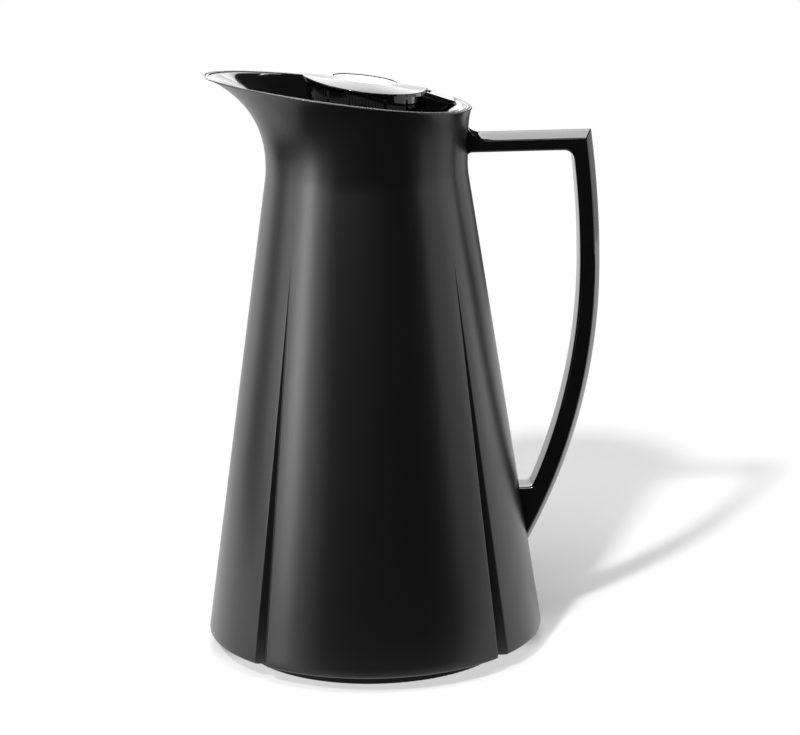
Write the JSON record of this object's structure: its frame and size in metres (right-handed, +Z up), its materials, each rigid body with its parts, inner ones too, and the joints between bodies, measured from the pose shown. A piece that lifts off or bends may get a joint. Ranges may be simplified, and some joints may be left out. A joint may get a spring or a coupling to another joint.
{
  "type": "thermal jug",
  "caption": "Conical insulated jug with a pouring lip, four grooves, a faceted loop handle and a screw-in stopper whose push button opens the pouring valve.",
  "frame": {"origin": "centre of the flat underside", "axes": "+Z up, +X towards the handle, -X towards the spout, +Y to the jug's left when the handle is nearest"},
  "size_m": [0.1947, 0.165, 0.284],
  "materials": {
    "shell_satin_black": "satin black moulded plastic",
    "gloss_black": "gloss black moulded plastic",
    "base_black": "matt black moulded plastic",
    "silvered_glass": "silvered on the vacuum side",
    "clear_silicone": "milky silicone",
    "black_rubber": "matt rubber",
    "felt": "pressed fibre",
    "steel": "plain steel",
    "polished_steel": "polished"
  },
  "bodies": {
    "jug": {"outer_shell": "shell_satin_black", "pouring_collar": "gloss_black", "handle": "gloss_black", "handle_screws": "steel", "flask_outer_glass": "silvered_glass", "flask_inner_glass": "silvered_glass", "flask_spacer_pads": "felt", "neck_gasket": "clear_silicone", "flask_cushion": "black_rubber", "base_plate": "base_black", "base_screws": "steel", "foot_ring": "black_rubber"},
    "lid_seal": {"stopper_gasket": "clear_silicone"},
    "lid": {"lid_cap": "gloss_black", "stopper_body": "gloss_black", "stem_seal": "clear_silicone", "drum_seal": "clear_silicone"},
    "button": {"push_button": "gloss_black", "button_plate": "polished_steel", "valve_stem": "steel", "valve_disc": "base_black", "valve_seal": "clear_silicone", "stem_clip": "steel", "return_spring": "steel"}
  },
  "joints": [
    {"name": "lid_lift", "type": "slide", "parent": "jug", "child": "lid_seal", "axis": [0, 0, 1], "range_m": [0, 0.09]},
    {"name": "lid_turn", "type": "hinge", "parent": "lid_seal", "child": "lid", "pos_m": [0, 0, 0.27], "axis": [0, 0, 1], "range_deg": [0, 120]},
    {"name": "button_press", "type": "slide", "parent": "lid", "child": "button", "axis": [0, 0, -1], "range_m": [0, 0.004], "stiffness_N_per_m": 600, "springref_m": -0.004, "deforming": ["return_spring"]}
  ]
}
